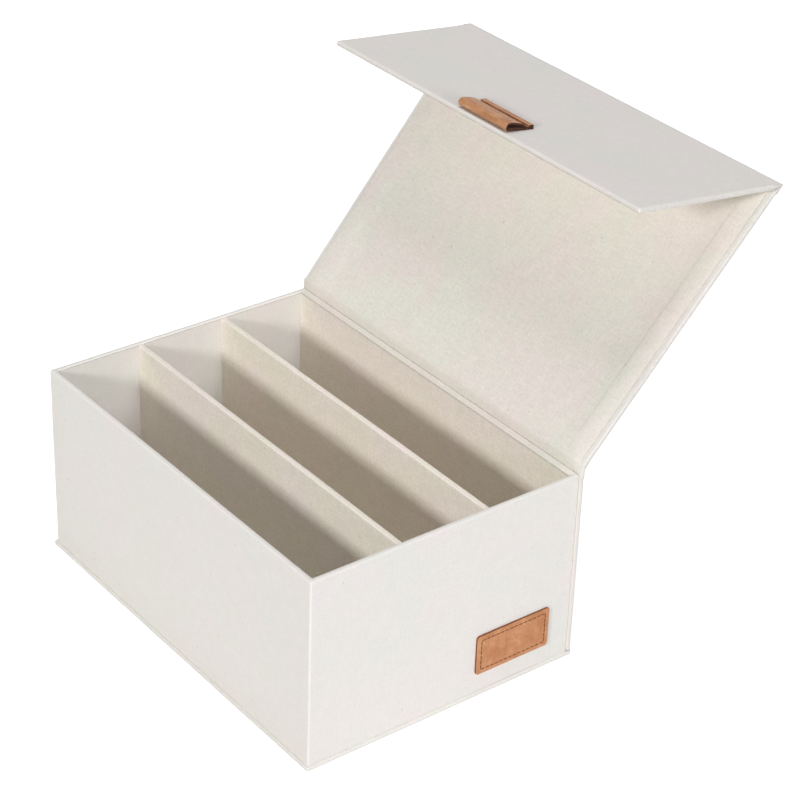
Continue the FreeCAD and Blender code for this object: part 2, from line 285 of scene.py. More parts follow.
def plated(name, colour, roughness):
    """Nickel or steel with a faint cloudy finish."""
    s = Shader(name)
    solid = s.node("ShaderNodeTexCoord").outputs["Object"]
    cloud = s.noise(solid, 700.0, 3.0)
    s.plug(s.surface, "Base Color", s.mix(cloud, colour, (0.9, 0.9, 0.9, 1)))
    s.plug(s.surface, "Metallic", 1.0)
    s.plug(s.surface, "Roughness", s.ramp(cloud, 0, 1, roughness - 0.08, roughness + 0.08))
    return s.material


FLECK = srgb(128, 112, 90)
# The dark brown of painted shade, put in grooves, creases, under raw edges and on edges that catch too much light.
PAINTED_SHADE_BROWN = srgb(104, 82, 56)
OUTER = canvas("outer_canvas", srgb(233, 231, 223), srgb(236, 230, 224), 0.045, FLECK, PAINTED_SHADE_BROWN)
LINING = canvas("lining_canvas", srgb(234, 232, 220), srgb(238, 229, 221), 0.09, FLECK, PAINTED_SHADE_BROWN)
# The inside pieces get a lighter copy of the canvas: painted light that stands in for the light that reaches inside
# the tray.
INSIDE_PAINTED_LIGHTER = canvas("inner_canvas", srgb(243, 237, 222), srgb(246, 236, 227), 0.11, FLECK, PAINTED_SHADE_BROWN)
TAN = leather("tan_leather", srgb(206, 153, 108), srgb(172, 116, 76), 0.5, 0.5)
PATCH = leather("patch_leather", srgb(216, 160, 115), srgb(184, 122, 78), 0.6)
PATCH_EDGE = fibrous("patch_edge", srgb(142, 84, 54), srgb(104, 58, 36))
CUT_EDGE = fibrous("cut_leather_edge", srgb(78, 42, 24), srgb(40, 22, 12))
# The loop's hollow: the leather's rough side, painted darker also for the shade inside the loop.
FLESH_AND_PAINTED_SHADE = fibrous("leather_flesh_side_and_painted_shade", srgb(128, 84, 56), srgb(96, 60, 38))
STITCH = fibrous("burnt_stitch", srgb(124, 68, 32), srgb(82, 42, 20))
BOARD = fibrous("grey_board", srgb(168, 164, 156), srgb(140, 136, 129))
STEEL = plated("plain_steel", (0.55, 0.55, 0.56, 1), 0.4)
NICKEL = plated("nickel_plate", (0.68, 0.66, 0.62, 1), 0.22)


# Mesh tools

def box_mesh(low, high, start_half=None, end_half=None):
    """A box between two corners, or one whose half width changes from its low to its high Y."""
    low, high = Vector(low), Vector(high)
    bm = bmesh.new()
    place = Matrix.Translation((low + high) / 2) @ Matrix.Diagonal((*(high - low), 1))
    bmesh.ops.create_cube(bm, size=1, matrix=place)
    if start_half:
        for v in bm.verts:
            v.co.x = math.copysign(start_half if v.co.y < (low.y + high.y) / 2 else end_half, v.co.x)
    return bm


def slice_along(bm, place, normal):
    """Cuts the mesh along a plane, and leaves it whole."""
    geometry = bm.verts[:] + bm.edges[:] + bm.faces[:]
    bmesh.ops.bisect_plane(bm, geom=geometry, dist=1e-7, plane_co=place, plane_no=normal)


def cut(bm, axis, *places):
    """Cuts the mesh across an axis at each place."""
    normal = Vector((axis == "x", axis == "y", axis == "z"))
    for at in places:
        slice_along(bm, normal * at, normal)


def cut_slanting(bm, low_x, high_x, length):
    """Cuts the mesh along the line from one X at the start to another at a panel's full length."""
    slice_along(bm, (low_x, 0, 0), Vector((length, low_x - high_x, 0)).normalized())


def spaced(step, count):
    """Places at even steps on both sides of the middle."""
    return [k * step for k in range(-count, count + 1)]


def cut_evenly(bm, step=PANEL_CELL, axes="xyz"):
    """Cuts the mesh into cells of about one step, and beside its rounded edges, so that it can be uneven."""
    for i, axis in enumerate("xyz"):
        if axis in axes:
            low = min(v.co[i] for v in bm.verts)
            high = max(v.co[i] for v in bm.verts)
            count = max(1, round((high - low) / step))
            edge = min(EDGE_ROUND * 1.6, (high - low) / 3)
            inner = [low + (high - low) * k / count for k in range(1, count)]
            cut(bm, axis, low + edge, high - edge, *inner)


def round_edges(bm, radius, chosen, segments=4):
    """Rounds the edges that are chosen."""
    edges = [e for e in bm.edges if chosen(e)]
    bmesh.ops.bevel(bm, geom=edges, offset=radius, affect="EDGES", segments=segments, profile=0.5, material=-1)


def same(a, b):
    """Whether two coordinates are one place."""
    return abs(a - b) < SAME_PLACE


def middle(thing):
    """The middle of an edge or face."""
    return sum((v.co for v in thing.verts), Vector()) / len(thing.verts)


def verts_of(geometry):
    """The points among an operator's results."""
    return [v for v in geometry if isinstance(v, bmesh.types.BMVert)]


def along(edge, axis):
    """Whether an edge runs along an axis."""
    d = edge.verts[1].co - edge.verts[0].co
    return abs(d["xyz".index(axis)]) > 0.9 * d.length


def uneven(bm, depth, size=0.05, seed=0):
    """Presses the surface in and out a little, as glued cloth on board is."""
    bm.normal_update()
    shift = Vector((seed * 7.3, seed * 3.1, seed * 5.7))
    moves = [v.normal * depth * noise.noise(v.co / size + shift) for v in bm.verts]
    for v, move in zip(bm.verts, moves):
        v.co += move


def darken(bm, share, chosen):
    """Marks points for painted shade, with a share of the dark brown: lines in grooves, creases and under raw edges,
    and edges dimmed where they catch too much light.
    """
    seam_and_painted_shade = bm.verts.layers.float.get("seam_and_painted_shade") or bm.verts.layers.float.new("seam_and_painted_shade")
    for v in bm.verts:
        if chosen(v.co):
            v[seam_and_painted_shade] = share


def add(bm, other):
    """Puts one mesh's shell in with another's."""
    mesh = bpy.data.meshes.new("shell")
    other.to_mesh(mesh)
    other.free()
    bm.from_mesh(mesh)
    bpy.data.meshes.remove(mesh)


WEAVE_SHIFT = (0.31, 0.17)
SHARP = math.radians(50)


def lay_weave(bm):
    """Gives each face cloth coordinates in metres, along the two axes that it faces least.

    Each of the three directions has a part of the cloth of its own.
    """
    bm.normal_update()
    cloth = bm.loops.layers.uv.new("weave")
    for face in bm.faces:
        n = [abs(c) for c in face.normal]
        skip = n.index(max(n))
        u, v = [i for i in range(3) if i != skip]
        for loop in face.loops:
            loop[cloth].uv = (loop.vert.co[u] + WEAVE_SHIFT[0] * skip, loop.vert.co[v] + WEAVE_SHIFT[1] * skip)


def make(name, bm, materials, place=None):
    """Turns a finished mesh into a piece, smooth but for its sharp corners."""
    bmesh.ops.remove_doubles(bm, verts=bm.verts[:], dist=SAME_PLACE)
    bmesh.ops.recalc_face_normals(bm, faces=bm.faces[:])
    lay_weave(bm)
    if place:
        bmesh.ops.transform(bm, matrix=place, verts=bm.verts[:])
    for face in bm.faces:
        face.smooth = True
    for edge in bm.edges:
        edge.smooth = len(edge.link_faces) == 2 and edge.calc_face_angle() < SHARP
    mesh = bpy.data.meshes.new(name)
    bm.to_mesh(mesh)
    bm.free()
    for material in materials:
        mesh.materials.append(material)
    piece = bpy.data.objects.new(name, mesh)
    bpy.context.scene.collection.objects.link(piece)
    return piece


def settle(piece, slot, body, *nodes):
    """Hides the nodes that a piece stands for, and puts the piece under the body that it moves with; a piece given two
    bodies is fixed where it is. The slot is not used.
    """
    if nodes:
        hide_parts(*nodes)
    if isinstance(body, str):
        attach(piece, body)
    else:
        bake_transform(piece)
    return piece


# Tray

def tray_cover():
    """The cloth over the front and side walls, over the rim and down the inside."""
    foot = BASE_TOP - 0.5 * mm
    round_foot = RIM - RIM_ROUND
    front_rim_shade_width = 0.75 * mm
    bm = box_mesh((-TRAY_HALF, TRAY_FRONT, foot), (TRAY_HALF, TRAY_BACK, RIM))
    cut(bm, "x", -INNER_HALF, INNER_HALF)
    cut(bm, "y", INNER_FRONT)

    def over_inside(f):
        c = middle(f)
        return abs(c.x) < INNER_HALF - mm and c.y > INNER_FRONT + mm

    bmesh.ops.delete(bm, geom=[f for f in bm.faces if over_inside(f)], context="FACES")
    open_rim = [e for e in bm.edges if e.is_boundary and all(same(v.co.z, RIM) for v in e.verts)]
    down = bmesh.ops.extrude_edge_only(bm, edges=open_rim)["geom"]
    bmesh.ops.translate(bm, verts=verts_of(down), vec=(0, 0, foot - RIM))
    bmesh.ops.remove_doubles(bm, verts=bm.verts[:], dist=SAME_PLACE)
    bmesh.ops.recalc_face_normals(bm, faces=bm.faces[:])

    def rounded_edge(e):
        c = middle(e)
        on_rim = same(c.z, RIM) and len(e.link_faces) == 2 and e.calc_face_angle() > 0.5
        outside_corner = along(e, "z") and same(abs(c.x), TRAY_HALF)
        return on_rim or outside_corner

    round_edges(bm, RIM_ROUND, rounded_edge)
    cut_evenly(bm)
    cut(bm, "x", -INNER_HALF + 2 * mm, INNER_HALF - 2 * mm)
    cut(bm, "z", round_foot - 0.4 * mm)
    # Painted shade: a thin dark line where the rim's rounding ends on the inside, and a dark band along the front
    # rim's inner edge.
    darken(bm, 0.5, lambda c: abs(c.z - round_foot) < ON_LINE and abs(c.x) < INNER_HALF + ON_LINE
           and c.y > INNER_FRONT - ON_LINE)
    darken(bm, 0.42, lambda c: INNER_FRONT - front_rim_shade_width < c.y < INNER_FRONT + 0.1 * mm and c.z > RIM - 0.8 * mm
           and abs(c.x) < INNER_HALF - mm)
    uneven(bm, 0.22 * mm, 0.06, 1)
    return make("tray_cover", bm, [OUTER])


def rear_wall_cover():
    """The cloth over the tray's rear wall, whose top edge lies under the lining strip."""
    bm = box_mesh((-INNER_HALF, INNER_BACK, BASE_TOP), (INNER_HALF, TRAY_BACK, SPINE_TOP))
    round_edges(bm, 0.4 * mm, lambda e: along(e, "x") and middle(e).z > SPINE_TOP - mm, 2)
    cut_evenly(bm, 14 * mm, "xz")
    cut(bm, "z", SPINE_TOP - 0.75 * mm)
    # Painted shadow: the wall's top, under the lining's raw edge, is darkened.
    darken(bm, 0.3, lambda c: c.z > SPINE_TOP - 0.5 * mm)
    return make("rear_wall_cover", bm, [INSIDE_PAINTED_LIGHTER])


def divider_cover(name, node, seed):
    """The cloth over a divider, with a rounded top."""
    low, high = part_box(node)
    bm = box_mesh(low, high)
    round_edges(bm, 0.7 * mm, lambda e: along(e, "x") and middle(e).z > high.z - mm)
    cut_evenly(bm, axes="xz")
    # Painted shade: the top is dimmed a little so that its rounded edge catches less light.
    darken(bm, 0.07, lambda c: c.z > high.z - 0.1 * mm)
    uneven(bm, 0.18 * mm, 0.05, seed)
    return make(name, bm, [INSIDE_PAINTED_LIGHTER])


def floor_cover():
    """The cloth on the tray's bottom."""
    bm = box_mesh((-INNER_HALF, INNER_FRONT, FLOOR_TOP - CLOTH), (INNER_HALF, INNER_BACK, FLOOR_TOP))
    cut_evenly(bm, 16 * mm, "xy")
    uneven(bm, 0.1 * mm, 0.05, 4)
    return make("floor_cover", bm, [INSIDE_PAINTED_LIGHTER])


def base_cover():
    """The cloth round the bottom board, which stands out all round as a thin plinth."""
    bm = box_mesh((-CASE_HALF, BASE_FRONT, 0), (CASE_HALF, CASE_BACK, BASE_TOP))
    round_edges(bm, 0.8 * mm, lambda e: not (middle(e).z > mm and middle(e).y > TRAY_BACK))
    cut_evenly(bm, axes="xy")
    bm.normal_update()
    for v in bm.verts:
        if v.co.z > 0.2 * mm:
            v.co += v.normal * 0.15 * mm * noise.noise(v.co / 0.035)
    return make("base_cover", bm, [OUTER])


# Spine and hinge

def spine_cover():
    """The spine's cloth, which runs on up, over the hinge and onto the lid's board, with its ends turned in."""
    front = TRAY_BACK - 0.06 * mm
    hinge_front = TRAY_BACK + 0.3 * mm
    hinge_half = CASE_HALF - 0.1 * mm
    bm = box_mesh((-CASE_HALF, front, BASE_TOP + mm), (CASE_HALF, CASE_BACK, SPINE_TOP + 0.1 * mm))
    round_edges(bm, EDGE_ROUND, lambda e: along(e, "z") and middle(e).y > CASE_BACK - mm)
    cut_evenly(bm, 14 * mm, "xz")
    foot_low, foot_high, foot_half = BASE_TOP - 0.4 * mm, BASE_TOP + 1.2 * mm, CASE_HALF - 0.25 * mm
    foot = box_mesh((-foot_half, CASE_BACK - 2 * CLOTH, foot_low), (foot_half, CASE_BACK - 0.15 * mm, foot_high))
    gap = 1.6 * mm
    cut(foot, "x", -foot_half + gap, foot_half - gap)
    # Painted shade: the foot's ends are painted dark brown for the small hole where base, spine and wall meet.
    darken(foot, 1.0, lambda c: abs(abs(c.x) - foot_half) < ON_LINE and c.y < CASE_BACK - CLOTH)
    add(bm, foot)
    hinge = bmesh.new()
    up_the_spine = [(hinge_front, SPINE_TOP - 2 * mm), (CASE_BACK - 0.1 * mm, SPINE_TOP - 2 * mm),
                    (CASE_BACK - 0.02 * mm, SPINE_TOP), (CASE_BACK + 0.05 * mm, LID_AXIS.z - 1.4 * mm),
                    (CASE_BACK + 0.15 * mm, LID_AXIS.z - 0.3 * mm)]
    onto_the_lid = [(LID_PLACE @ Vector((0, y * mm, z * mm)))[1:] for y, z in
                    ((0.2, -0.22), (1.2, -0.16), (2.6, -0.07), (5.0, 0.05), (5.0, 1.0), (LID_ROOT / mm + 0.3, 3.1))]
    down_the_front = [(hinge_front, LID_AXIS.z - 0.6 * mm), (hinge_front, LID_AXIS.z - 2.4 * mm)]
    profile = up_the_spine + onto_the_lid + down_the_front
    end = hinge.faces.new([hinge.verts.new((-hinge_half, y, z)) for y, z in profile])
    far = bmesh.ops.extrude_face_region(hinge, geom=[end])["geom"]
    bmesh.ops.translate(hinge, verts=verts_of(far), vec=(2 * hinge_half, 0, 0))
    round_edges(hinge, 0.25 * mm, lambda e: not along(e, "x"), 2)
    cut(hinge, "x", *spaced(14 * mm, 8))
    add(bm, hinge)
    return make("spine_cover", bm, [OUTER])


LINING_TOP = PANEL + CLOTH
LINING_BEND = 2.4 * mm
RAW_WIDTH = 0.3 * mm


def lining_sheet():
    """The lining of the lid, laid flat: sunk inside the outer cloth's turn-in, and thin at its raw sides."""
    bm = bmesh.new()
    place = Matrix.Translation((0, (LINING_BEND + LID_END) / 2, LINING_TOP))
    size = Matrix.Diagonal((1, LID_END - LINING_BEND, 1, 1))
    bmesh.ops.create_grid(bm, x_segments=1, y_segments=1, size=0.5, matrix=place @ size)
    start_half, end_half = CASE_HALF - LINING_INSET, lid_half(LID_END) - LINING_INSET
    for v in bm.verts:
        v.co.x = math.copysign(start_half if v.co.y < LID_END / 2 else end_half, v.co.x)
    cut_evenly(bm, 8 * mm, "y")
    cut(bm, "x", *spaced(PANEL_CELL, 8))
    step_width = {-1: 7 * mm, 1: 1.8 * mm}
    for side, width in step_width.items():
        step_insets = [TURN_IN + share * width for share in (0.0, 0.3, 0.7, 1.0)]
        for inset in (*step_insets, LINING_INSET + 0.7 * mm):
            cut_slanting(bm, side * (lid_half(0) - inset), side * (lid_half(LID_LENGTH) - inset), LID_LENGTH)
    for v in bm.verts:
        inset = lid_half(v.co.y) - abs(v.co.x)
        sunk = clamp((inset - TURN_IN) / step_width[1 if v.co.x > 0 else -1]) * min(v.co.y / TURN_IN, 1)
        v.co.z -= (CLOTH - 0.06 * mm) * eased(sunk)
        v.co.z += 0.1 * mm * noise.noise(v.co / 0.05) * clamp(v.co.y / TURN_IN - 0.4)
        if inset < LINING_INSET + RAW_WIDTH:
            v.co.z -= 0.22 * mm
    return bm


def lid_lining_cover():
    """The lining: over the lid's inner face, taut down to the crease behind the tray, and over the rear rim."""
    bm = lining_sheet()
    bmesh.ops.transform(bm, matrix=LID_PLACE, verts=bm.verts[:])
    low = min(v.co.z for v in bm.verts)
    edge = [e for e in bm.edges if e.is_boundary and along(e, "x") and middle(e).z < low + 1.2 * mm]
    bend_start = middle(edge[0])
    corner = LID_PLACE @ Vector((0, 0.2 * mm, LINING_TOP))
    crease = Vector((0, TRAY_BACK + 0.1 * mm, SPINE_TOP + CLOTH + 0.25 * mm))
    for t in (0.2, 0.4, 0.6, 0.8, 1.0):
        target = bend_start * (1 - t) ** 2 + corner * 2 * t * (1 - t) + crease * t * t
        edge = pull_on(bm, edge, target)
    into_the_crease = [(crease.y + y * mm, crease.z + z * mm) for y, z in ((-0.05, -0.5), (-0.3, -0.5), (-0.5, -0.08))]
    over_the_rim = [(INNER_BACK + y * mm, crease.z + z * mm) for y, z in ((0.8, -0.1), (0.35, -0.13), (-0.02, -0.3))]
    for y, z in into_the_crease + over_the_rim:
        edge = pull_on(bm, edge, Vector((0, y, z)))
    bmesh.ops.recalc_face_normals(bm, faces=bm.faces[:])
    bmesh.ops.solidify(bm, geom=bm.faces[:], thickness=LINING_PLY)
    sheet_half, crease_half, rim_half = CASE_HALF - LINING_INSET, 124.8 * mm, 123.0 * mm

    def strip_half(y):
        """Half the strip's width between the crease and the rim's inner edge."""
        return crease_half + (rim_half - crease_half) * clamp((crease.y - y) / (crease.y - INNER_BACK))

    for v in bm.verts:
        reach = clamp((v.co.z - crease.z) / (14 * mm))
        on_strip = v.co.z <= crease.z + 0.2 * mm
        wide = strip_half(v.co.y) if on_strip else crease_half + (sheet_half - crease_half) * reach
        if reach < 1:
            v.co.x *= wide / sheet_half
    # Painted shade: a dark line in the crease behind the tray, and a darker front edge over the rear rim for the
    # shadow under the lining's raw edge.
    darken(bm, 0.8, lambda c: abs(c.y - crease.y + 0.2 * mm) < 0.2 * mm and c.z < crease.z - 0.2 * mm)
    darken(bm, 0.3, lambda c: c.y < INNER_BACK + 0.1 * mm)
    back_to_flat = LID_PLACE.inverted()

    def raw_side(c):
        flat = back_to_flat @ c
        return flat.y > LINING_BEND and lid_half(flat.y) - abs(flat.x) < LINING_INSET + RAW_WIDTH

    # Painted shadow along the lining's raw sides on the lid.
    darken(bm, 0.42, raw_side)
    # Painted shade at the strip's ends, where it lies under the side walls' rims.
    darken(bm, 0.7, lambda c: c.y < crease.y and c.z < crease.z + 0.2 * mm
           and abs(c.x) > strip_half(c.y) - 0.1 * mm)
    return make("lid_lining_cover", bm, [LINING])


def pull_on(bm, edges, target):
    """Carries a row of edges on, level with a target, and gives the new row."""
    now = middle(edges[0])
    grown = bmesh.ops.extrude_edge_only(bm, edges=edges)["geom"]
    verts = verts_of(grown)
    bmesh.ops.translate(bm, verts=verts, vec=(0, target.y - now.y, target.z - now.z))
    fresh = set(verts)
    return [e for e in grown if isinstance(e, bmesh.types.BMEdge) and set(e.verts) <= fresh]


# Lid and flap

def panel_cover(name, start, end, half, length, is_lid, seed):
    """A board's cloth over its outer face, round its sides and turned in, with a thinning tongue to its fold.

    The lid's tongue is at its end. The flap's is at its start, and its end is free.
    """
    bm = box_mesh((-1, start, 0), (1, end, PANEL), half(start), half(end))
    if not is_lid:
        round_edges(bm, 1.5 * mm, lambda e: along(e, "z") and middle(e).y > end - mm, 5)
    root, axis_y, way = (end, length - CLOTH, 1) if is_lid else (start, CLOTH, -1)
    ends = [f for f in bm.faces if same(middle(f).y, root)]
    grown = bmesh.ops.extrude_face_region(bm, geom=ends)["geom"]
    bmesh.ops.delete(bm, geom=[f for f in ends if f.is_valid], context="FACES_ONLY")
    for v in verts_of(grown):
        v.co.y = axis_y
        v.co.x = math.copysign(half(axis_y), v.co.x)
        v.co.z = min(v.co.z, CLOTH)

    def outer_edge(e):
        """Whether an edge runs round the board, and not over its tongue or its square end."""
        c = middle(e)
        if same(c.z, CLOTH) or is_lid and same(c.y, start):
            return False
        on_tongue = way * (c.y - root) > -SAME_PLACE
        upright = not same(e.verts[0].co.z, e.verts[1].co.z)
        return not on_tongue and not upright

    round_edges(bm, EDGE_ROUND, outer_edge, 5)
    cut_evenly(bm, 10 * mm, "y")
    cut(bm, "x", *spaced(PANEL_CELL, 10))
    last = [f for f in bm.faces if all(same(v.co.y, axis_y) for v in f.verts)]
    bmesh.ops.spin(bm, geom=last, cent=(0, axis_y, CLOTH), axis=(way, 0, 0), dvec=(0, 0, 0), angle=FOLD_TURN,
                   steps=5, use_merge=False, use_duplicate=False)
    bmesh.ops.delete(bm, geom=[f for f in last if f.is_valid], context="FACES_ONLY")
    sunk_start, sunk_end = (start + mm, end - mm) if is_lid else (start + 2 * mm, end - TURN_IN - mm)
    cut(bm, "y", sunk_start, sunk_end)
    for side in (-1, 1):
        for inset in (EDGE_ROUND + 0.35 * mm, TURN_IN, TURN_IN + mm):
            cut_slanting(bm, side * (half(0) - inset), side * (half(length) - inset), length)
    bm.normal_update()
    for v in bm.verts:
        inner_face = v.co.z > PANEL - 0.1 * mm
        under_lining = sunk_start < v.co.y < sunk_end and abs(v.co.x) < half(v.co.y) - TURN_IN - 0.5 * mm
        if start + mm < v.co.y < end - 4 * mm and v.co.z < PANEL - 0.1 * mm:
            v.co += v.normal * 0.14 * mm * noise.noise(v.co / 0.045 + Vector((seed, seed, 0)))
        elif inner_face and under_lining:
            v.co.z -= 0.4 * mm
    # Painted shade: the sides are dimmed so that they catch less light.
    darken(bm, 0.19, lambda c: abs(c.x) > half(c.y) - 0.5 * mm)
    if not is_lid:
        # Painted shade on the flap's free end, and a painted shadow line along its inner edge.
        darken(bm, 0.10, lambda c: c.y > end - 0.5 * mm)
        darken(bm, 0.6, lambda c: c.y > end - EDGE_ROUND - 0.1 * mm and c.z > PANEL - 0.55 * mm)
    return make(name, bm, [OUTER], LID_PLACE if is_lid else FLAP_PLACE)


def flap_lining_cover():
    """The flap's lining with its raw edges, sunk a little where the outer cloth's turn-in ends."""
    end = FLAP_LENGTH - LINING_INSET
    step_x = FOLD_HALF - LINING_INSET - 10 * mm
    step_y = FLAP_LENGTH - TURN_IN
    step_width = 1.8 * mm
    bm = box_mesh((-1, FLAP_START, PANEL - 0.38 * mm), (1, end, PANEL + CLOTH),
                  flap_half(FLAP_START) - LINING_INSET, flap_half(end) - LINING_INSET)
    cut_evenly(bm, 8 * mm, "y")
    cut(bm, "x", *spaced(PANEL_CELL, 10))
    cut(bm, "y", step_y - step_width, step_y - step_width / 2, step_y)
    for side in (-1, 1):
        cut(bm, "x", side * step_x, side * (step_x - mm), side * (step_x - 2 * mm))
    for v in bm.verts:
        if v.co.z > PANEL:
            inset = min(step_x - abs(v.co.x), step_y - v.co.y)
            v.co.z -= (CLOTH - 0.05 * mm) * clamp(inset / step_width)
            v.co.z += 0.1 * mm * noise.noise(v.co / 0.05)
    return make("flap_lining_cover", bm, [LINING], FLAP_PLACE)


def fold_lining_cover(name, from_lid):
    """The lining pressed into the joint on one side of the fold."""
    root = LID_END if from_lid else FLAP_START
    axis_y = LID_LENGTH - CLOTH if from_lid else CLOTH
    way = 1 if from_lid else -1
    half = FOLD_HALF - LINING_INSET
    near, far = sorted((root - way * 0.4 * mm, axis_y - way * 0.5 * mm))
    bm = box_mesh((-half, near, 0.2 * mm), (half, far, CLOTH + 0.2 * mm))
    cut(bm, "y", root)
    cut(bm, "y", *[root + (axis_y - root) * k / 5 for k in range(1, 5)])
    cut(bm, "x", *spaced(PANEL_CELL, 10))
    for v in bm.verts:
        v.co.z += (PANEL - 0.25 * mm) * clamp((axis_y - v.co.y) / (axis_y - root))
    return make(name, bm, [LINING], LID_PLACE if from_lid else FLAP_PLACE)


# Leather

PULL_LOW, PULL_HIGH = -19.1 * mm, 21.9 * mm
PULL_PLY = 1.3 * mm
PULL_TIP = FLAP_LENGTH - 0.9 * mm
PULL_CREASE = PULL_TIP - 16.1 * mm
PULL_TAIL = 3.8 * mm
PULL_BEND = 1.75 * mm
PULL_RISE = 3.1 * mm
PULL_CUTS = [k * 4 * mm for k in range(-4, 6)]


def pull_loop():
    """The loose loop: one strip of leather from the crease, round the nose and back over itself.

    It is pressed flat towards the crease, and its hollow shows the leather's rough side, painted darker also for the
    shade inside the loop.
    """
    half_ply = PULL_PLY / 2
    nose = PULL_TIP - half_ply - PULL_BEND
    low, high = half_ply + 0.05 * mm, half_ply + PULL_PLY - 0.05 * mm
    bm = bmesh.new()
    bottom = PULL_BEND - PULL_RISE
    under = interpolate_bezier((PULL_LOW, PULL_CREASE - 0.5 * mm, -low), (PULL_LOW, PULL_CREASE + 6 * mm, -low),
                               (PULL_LOW, nose - 4 * mm, bottom), (PULL_LOW, nose, bottom), 12)
    tip = bm.verts.new(under[0])
    for point in under[1:]:
        tip = grow(bm, tip, point)
    turned = bmesh.ops.spin(bm, geom=[tip], cent=(0, nose, -PULL_RISE), axis=(-1, 0, 0), dvec=(0, 0, 0),
                            angle=math.pi, steps=14, use_merge=False, use_duplicate=False)["geom_last"]
    tip = verts_of(turned)[0]
    over = interpolate_bezier(tip.co, (PULL_LOW, nose - 5 * mm, tip.co.z - 0.1 * mm),
                              (PULL_LOW, PULL_CREASE + 4.2 * mm, -high - 1.1 * mm),
                              (PULL_LOW, PULL_CREASE - 0.5 * mm, -high), 16)
    for point in over[1:]:
        tip = grow(bm, tip, point)
    ribbon(bm)
    # The hollow's faces get the rough side's colour, darkened also as painted shade.
    for face in bm.faces:
        c = middle(face)
        heart = PULL_PLY + (PULL_RISE - PULL_PLY) * min((c.y - PULL_CREASE) / (nose - PULL_CREASE), 1)
        inwards = Vector((0, min(c.y, nose) - c.y, -heart - c.z))
        if face.normal.dot(inwards) > 0 and face.material_index == 0 and c.y > PULL_CREASE + mm:
            face.material_index = 2
    pressed = 0.62
    for v in bm.verts:
        v.co.z *= pressed + (1 - pressed) * eased(clamp((v.co.y - PULL_CREASE) / (5 * mm)))
        rise = -v.co.z / (2 * PULL_RISE)
        v.co.z += 0.25 * mm * rise * noise.noise(Vector((v.co.x / (14 * mm), 3.0, 0)))
        v.co.y += 0.20 * mm * rise * noise.noise(Vector((v.co.x / (11 * mm), 9.0, 0)))
    return make("pull_loop_leather", bm, [TAN, CUT_EDGE, FLESH_AND_PAINTED_SHADE], FLAP_PLACE)


def is_square(edge):
    """Whether two faces meet at an edge in about a right angle."""
    return len(edge.link_faces) == 2 and edge.calc_face_angle() > 1.0


def grow(bm, vert, to):
    """Carries a line on from its last point."""
    grown = bmesh.ops.extrude_vert_indiv(bm, verts=[vert])["verts"][0]
    grown.co = to
    return grown


def ribbon(bm):
    """Draws a line out across the pull, gives it the leather's thickness and darkens the cut edges."""
    swept = bmesh.ops.extrude_edge_only(bm, edges=bm.edges[:])["geom"]
    bmesh.ops.translate(bm, verts=verts_of(swept), vec=(PULL_HIGH - PULL_LOW, 0, 0))
    cut(bm, "x", *PULL_CUTS, PULL_LOW + 0.5 * mm, PULL_HIGH - 0.5 * mm)
    bmesh.ops.recalc_face_normals(bm, faces=bm.faces[:])
    bm.normal_update()
    outwards = [v.normal * PULL_PLY / 2 for v in bm.verts]
    for v, move in zip(bm.verts, outwards):
        v.co += move
    bmesh.ops.solidify(bm, geom=bm.faces[:], thickness=PULL_PLY)
    bmesh.ops.recalc_face_normals(bm, faces=bm.faces[:])
    bm.normal_update()
    for face in bm.faces:
        if abs(face.normal.x) > 0.7:
            face.material_index = 1
    round_edges(bm, 0.22 * mm, is_square, 2)
    bm.normal_update()


def pull_tail():
    """The tail of the pull: both ends of the strip, one on the other, glued down."""
    back = PULL_CREASE - PULL_TAIL
    bm = box_mesh((PULL_LOW, back, -2 * PULL_PLY), (PULL_HIGH, PULL_CREASE, 0))
    round_edges(bm, 0.45 * mm, lambda e: along(e, "x") and middle(e).z < -PULL_PLY and middle(e).y < back + mm, 3)
    seam_and_painted_shade, groove = 0.14 * mm, 0.18 * mm
    cut(bm, "z", -PULL_PLY - seam_and_painted_shade, -PULL_PLY, -PULL_PLY + seam_and_painted_shade)
    cut(bm, "x", *PULL_CUTS)
    for v in bm.verts:
        if same(v.co.z, -PULL_PLY):
            v.co.y -= math.copysign(groove, v.co.y - (PULL_CREASE - PULL_TAIL / 2))
            if same(v.co.x, PULL_LOW) or same(v.co.x, PULL_HIGH):
                v.co.x -= math.copysign(groove, v.co.x)
    bm.normal_update()
    for face in bm.faces:
        if abs(face.normal.x) > 0.5 or face.normal.y < -0.8:
            face.material_index = 1
    return make("pull_tail_leather", bm, [TAN, CUT_EDGE], FLAP_PLACE)


def label():
    """The blank label with its burnt stitch border."""
    low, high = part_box("label_patch")
    bm = box_mesh(low, high)
    round_edges(bm, 2.0 * mm, lambda e: along(e, "x"), 5)
    bm.normal_update()
    for f in bm.faces:
        if abs(f.normal.x) < 0.5:
            f.material_index = 1
    round_edges(bm, 0.4 * mm, lambda e: is_square(e) and middle(e).x > high.x - 0.01 * mm, 3)
    bmesh.ops.inset_region(bm, faces=[f for f in bm.faces if f.normal.x > 0.99], thickness=1.1 * mm, depth=0,
                           use_even_offset=True)
    return make("label_leather", bm, [PATCH, PATCH_EDGE])


